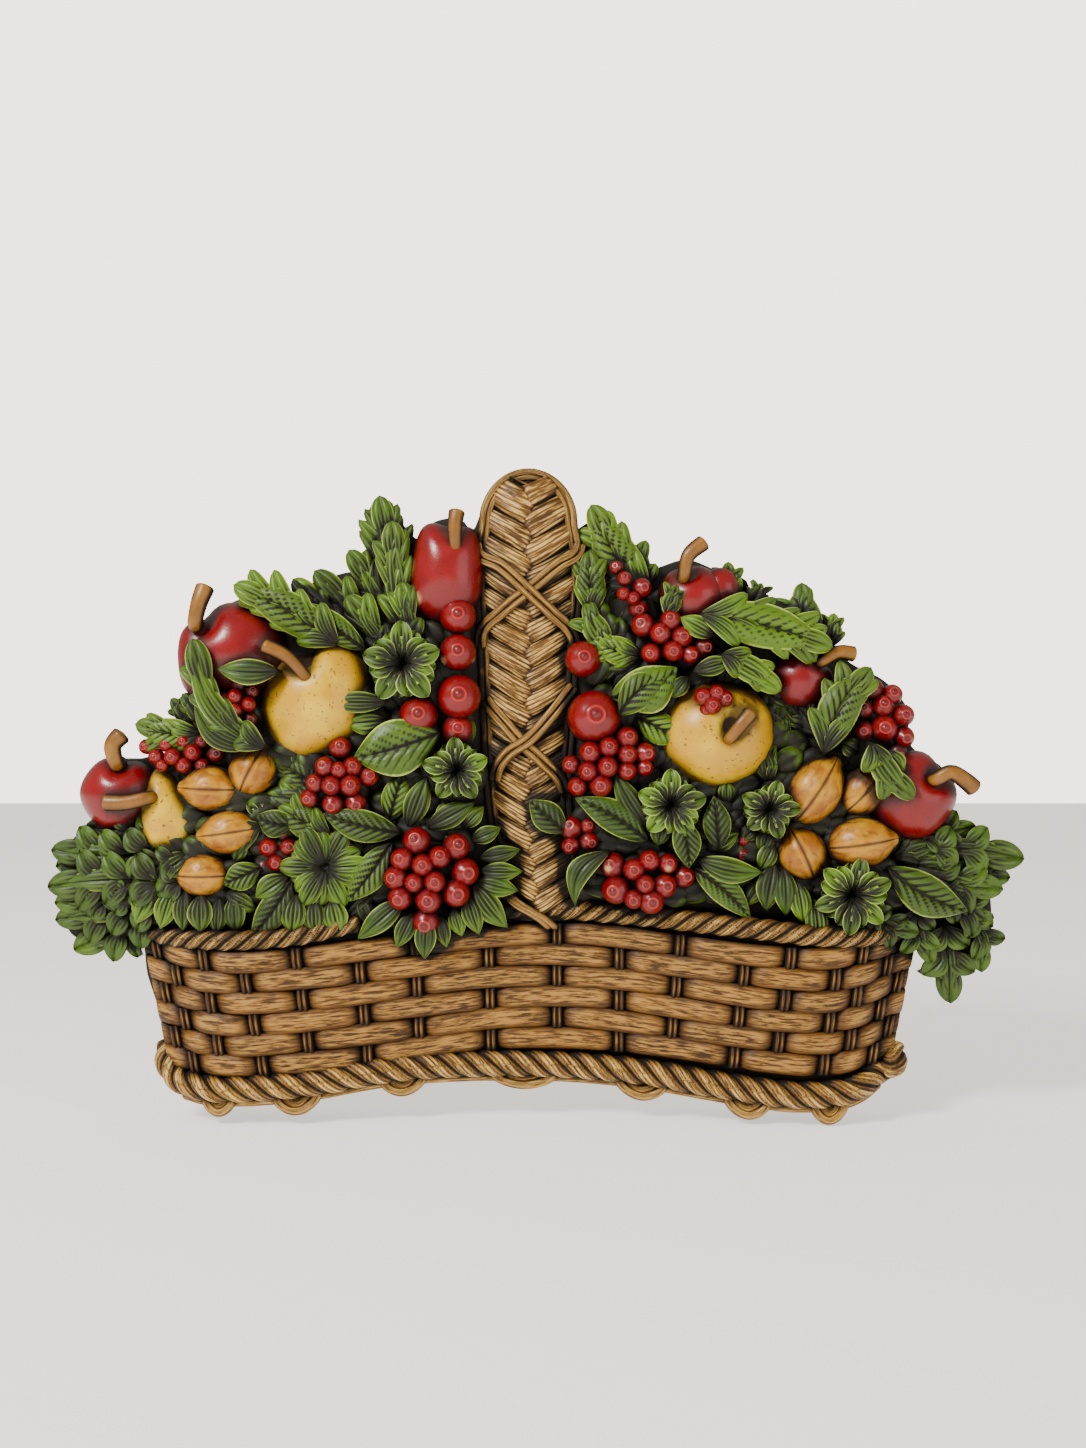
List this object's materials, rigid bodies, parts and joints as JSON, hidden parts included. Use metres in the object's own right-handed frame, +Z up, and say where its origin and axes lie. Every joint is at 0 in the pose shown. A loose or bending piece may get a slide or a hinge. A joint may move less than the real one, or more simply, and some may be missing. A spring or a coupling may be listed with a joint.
{
  "type": "decorative wall plaque",
  "caption": "Flat-backed moulded wall plaque: a woven basket with a plaited arch handle, heaped with fruit, nuts, berries and leaves.",
  "frame": {"origin": "on the flat back, behind the middle of the basket's handle, where the plaque bears on the wall", "axes": "+X to the right as seen from the front, +Y into the wall, +Z up; the relief rises towards -Y"},
  "size_m": [0.4563, 0.05, 0.3018],
  "materials": {
    "basket_paint": "satin ochre paint with a dark wash in the recesses",
    "leaf_paint": "satin green paint, dry-brushed lighter on the edges",
    "red_fruit_paint": "glossy deep red paint",
    "yellow_fruit_paint": "glossy ochre yellow paint with brown shading",
    "nut_paint": "satin tan paint with brown seams"
  },
  "bodies": {
    "root": {"plaque": "basket_paint"}
  },
  "joints": []
}
